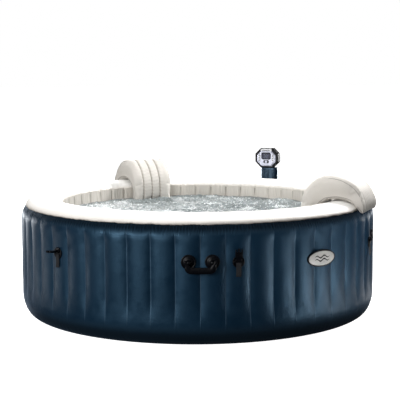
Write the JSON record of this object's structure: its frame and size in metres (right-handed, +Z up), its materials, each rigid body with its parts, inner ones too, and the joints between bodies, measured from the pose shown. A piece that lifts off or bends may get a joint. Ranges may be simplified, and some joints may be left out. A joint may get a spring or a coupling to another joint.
{
  "type": "inflatable hot tub",
  "caption": "Round inflatable hot tub with a pleated navy wall, white rim, padded headrests, grab handles, cover buckles and a pump unit with a display head on a post",
  "frame": {"origin": "on the tub's axis at the underside of its base, where it meets the ground", "axes": "+Z up along the tub's axis; -Y towards the front, where the first handle is; +Y towards the pump unit side"},
  "size_m": [2.16, 2.5653, 0.8975],
  "materials": {
    "pvc_navy": "semi-gloss vinyl, navy",
    "pvc_white": "semi-gloss vinyl, off-white",
    "pvc_beige": "semi-gloss vinyl, beige",
    "pvc_grey": "matt vinyl, grey",
    "pvc_cream": "soft flocked vinyl, cream",
    "plastic_black": "glossy moulded plastic, black",
    "plastic_navy": "satin moulded plastic, navy",
    "plastic_silver": "satin painted plastic, silver",
    "plastic_grey": "matt moulded plastic, grey",
    "badge_grey": "satin plastic, light grey",
    "screen_glass": "glossy dark display window",
    "filter_paper": "pleated filter paper, off-white",
    "steel": "brushed steel",
    "board_green": "printed circuit board, green",
    "water": null
  },
  "bodies": {
    "tub": {"outer_wall_skin": "pvc_navy", "base_skin": "pvc_navy", "top_rim_skin": "pvc_white", "inner_wall_skin": "pvc_beige", "floor_skin": "pvc_grey", "wall_baffles": "pvc_grey", "bubble_ring": "pvc_grey", "handle_base_1": "plastic_black", "handle_base_2": "plastic_black", "handle_base_3": "plastic_black", "cover_patch_1": "plastic_black", "cover_patch_2": "plastic_black", "cover_patch_3": "plastic_black", "cover_patch_4": "plastic_black", "cover_patch_5": "plastic_black", "cover_patch_6": "plastic_black", "cable_gland": "plastic_black", "control_base_plate": "plastic_navy", "control_front_shell": "plastic_navy", "control_rear_shell": "plastic_navy", "display_post": "plastic_navy", "inflation_valve": "plastic_grey", "drain_valve": "plastic_grey", "inlet_fitting": "plastic_grey", "outlet_fitting": "plastic_grey", "air_fitting": "plastic_grey", "inlet_pipe": "plastic_grey", "outlet_pipe": "plastic_grey", "air_pipe": "plastic_grey", "filter_cage": "plastic_grey", "pump_volute": "plastic_grey", "blower_housing": "plastic_grey", "badge_plate": "badge_grey", "pump_motor": "steel", "heater_tube": "steel", "circuit_board": "board_green"},
    "inflation_cap": {"inflation_valve_cap": "plastic_black"},
    "drain_cap": {"drain_valve_cap": "plastic_black"},
    "grip_1": {"handle_grip_1": "plastic_black"},
    "grip_2": {"handle_grip_2": "plastic_black"},
    "grip_3": {"handle_grip_3": "plastic_black"},
    "clip_1": {"cover_clip_1": "plastic_black"},
    "clip_2": {"cover_clip_2": "plastic_black"},
    "clip_3": {"cover_clip_3": "plastic_black"},
    "clip_4": {"cover_clip_4": "plastic_black"},
    "clip_5": {"cover_clip_5": "plastic_black"},
    "clip_6": {"cover_clip_6": "plastic_black"},
    "right_headrest": {"headrest_right": "pvc_cream"},
    "left_headrest": {"headrest_left": "pvc_cream"},
    "cartridge": {"filter_cartridge": "filter_paper"},
    "inlet_union": {"inlet_nut": "plastic_black"},
    "outlet_union": {"outlet_nut": "plastic_black"},
    "impeller": {"pump_impeller": "plastic_black"},
    "fan": {"blower_fan": "plastic_black"},
    "head": {"head_shell": "plastic_black", "head_bezel": "plastic_silver", "head_screen": "screen_glass"},
    "left_keys": {"button_1": "plastic_silver"},
    "right_keys": {"button_2": "plastic_silver"},
    "power_key": {"button_3": "plastic_navy"}
  },
  "joints": [
    {"name": "grip_1_hinge", "type": "hinge", "parent": "tub", "child": "grip_1", "pos_m": [0, -1.112, 0.463], "axis": [-1, 0, 0], "range_deg": [0, 100]},
    {"name": "grip_2_hinge", "type": "hinge", "parent": "tub", "child": "grip_2", "pos_m": [1.00617, 0.47347, 0.463], "axis": [0.4258, -0.9048, 0], "range_deg": [0, 100]},
    {"name": "grip_3_hinge", "type": "hinge", "parent": "tub", "child": "grip_3", "pos_m": [-1.00617, 0.47347, 0.463], "axis": [0.4258, 0.9048, 0], "range_deg": [0, 100]},
    {"name": "clip_1_hinge", "type": "hinge", "parent": "tub", "child": "clip_1", "pos_m": [0.20481, -1.07364, 0.47], "axis": [0.9823, 0.1874, 0], "range_deg": [0, 150]},
    {"name": "clip_2_hinge", "type": "hinge", "parent": "tub", "child": "clip_2", "pos_m": [1.01625, -0.40236, 0.47], "axis": [0.3681, 0.9298, 0], "range_deg": [0, 150]},
    {"name": "clip_3_hinge", "type": "hinge", "parent": "tub", "child": "clip_3", "pos_m": [0.88426, 0.64245, 0.47], "axis": [-0.5878, 0.809, 0], "range_deg": [0, 150]},
    {"name": "clip_4_hinge", "type": "hinge", "parent": "tub", "child": "clip_4", "pos_m": [-0.33776, 1.0395, 0.47], "axis": [-0.9511, -0.309, 0], "range_deg": [0, 150]},
    {"name": "clip_5_hinge", "type": "hinge", "parent": "tub", "child": "clip_5", "pos_m": [-1.05866, 0.27182, 0.47], "axis": [-0.2487, -0.9686, 0], "range_deg": [0, 150]},
    {"name": "clip_6_hinge", "type": "hinge", "parent": "tub", "child": "clip_6", "pos_m": [-0.79676, -0.74821, 0.47], "axis": [0.6845, -0.729, 0], "range_deg": [-85, 65]},
    {"name": "right_headrest_lift", "type": "slide", "parent": "tub", "child": "right_headrest", "axis": [0, 0, 1], "range_m": [0, 0.3]},
    {"name": "left_headrest_lift", "type": "slide", "parent": "tub", "child": "left_headrest", "axis": [0, 0, 1], "range_m": [0, 0.3]},
    {"name": "cartridge_lift", "type": "slide", "parent": "tub", "child": "cartridge", "axis": [0, 0, 1], "range_m": [0, 0.16]},
    {"name": "inlet_union_turn", "type": "hinge", "parent": "tub", "child": "inlet_union", "pos_m": [0.54248, 0.99491, 0.3], "axis": [-0.4115, -0.9114, 0], "range_deg": [0, 720]},
    {"name": "outlet_union_turn", "type": "hinge", "parent": "tub", "child": "outlet_union", "pos_m": [0.38754, 1.06486, 0.3], "axis": [-0.4115, -0.9114, 0], "range_deg": [0, 720]},
    {"name": "inflation_cap_turn", "type": "hinge", "parent": "tub", "child": "inflation_cap", "pos_m": [-0.06844, 1.08785, 0.56], "axis": [0.0628, -0.998, 0], "range_deg": [0, 360]},
    {"name": "drain_cap_turn", "type": "hinge", "parent": "tub", "child": "drain_cap", "pos_m": [0.06876, 1.09284, 0.1], "axis": [-0.0628, -0.998, 0], "range_deg": [0, 720]},
    {"name": "impeller_spin", "type": "hinge", "parent": "tub", "child": "impeller", "pos_m": [0.59186, 1.10427, 0.3], "axis": [-0.4115, -0.9114, 0], "continuous": true},
    {"name": "fan_spin", "type": "hinge", "parent": "tub", "child": "fan", "pos_m": [0.54731, 1.21217, 0.18], "axis": [0, 0, 1], "continuous": true},
    {"name": "head_swivel", "type": "hinge", "parent": "tub", "child": "head", "pos_m": [0.53168, 1.17753, 0.75], "axis": [0, 0, 1], "range_deg": [-90, 90]},
    {"name": "left_keys_press", "type": "slide", "parent": "head", "child": "left_keys", "axis": [0.4115, 0.9114, 0], "range_m": [0, 0.0015], "stiffness_N_per_m": 800},
    {"name": "right_keys_press", "type": "slide", "parent": "head", "child": "right_keys", "axis": [0.4115, 0.9114, 0], "range_m": [0, 0.0015], "stiffness_N_per_m": 800},
    {"name": "power_key_press", "type": "slide", "parent": "head", "child": "power_key", "axis": [0.4115, 0.9114, 0], "range_m": [0, 0.0015], "stiffness_N_per_m": 800}
  ]
}
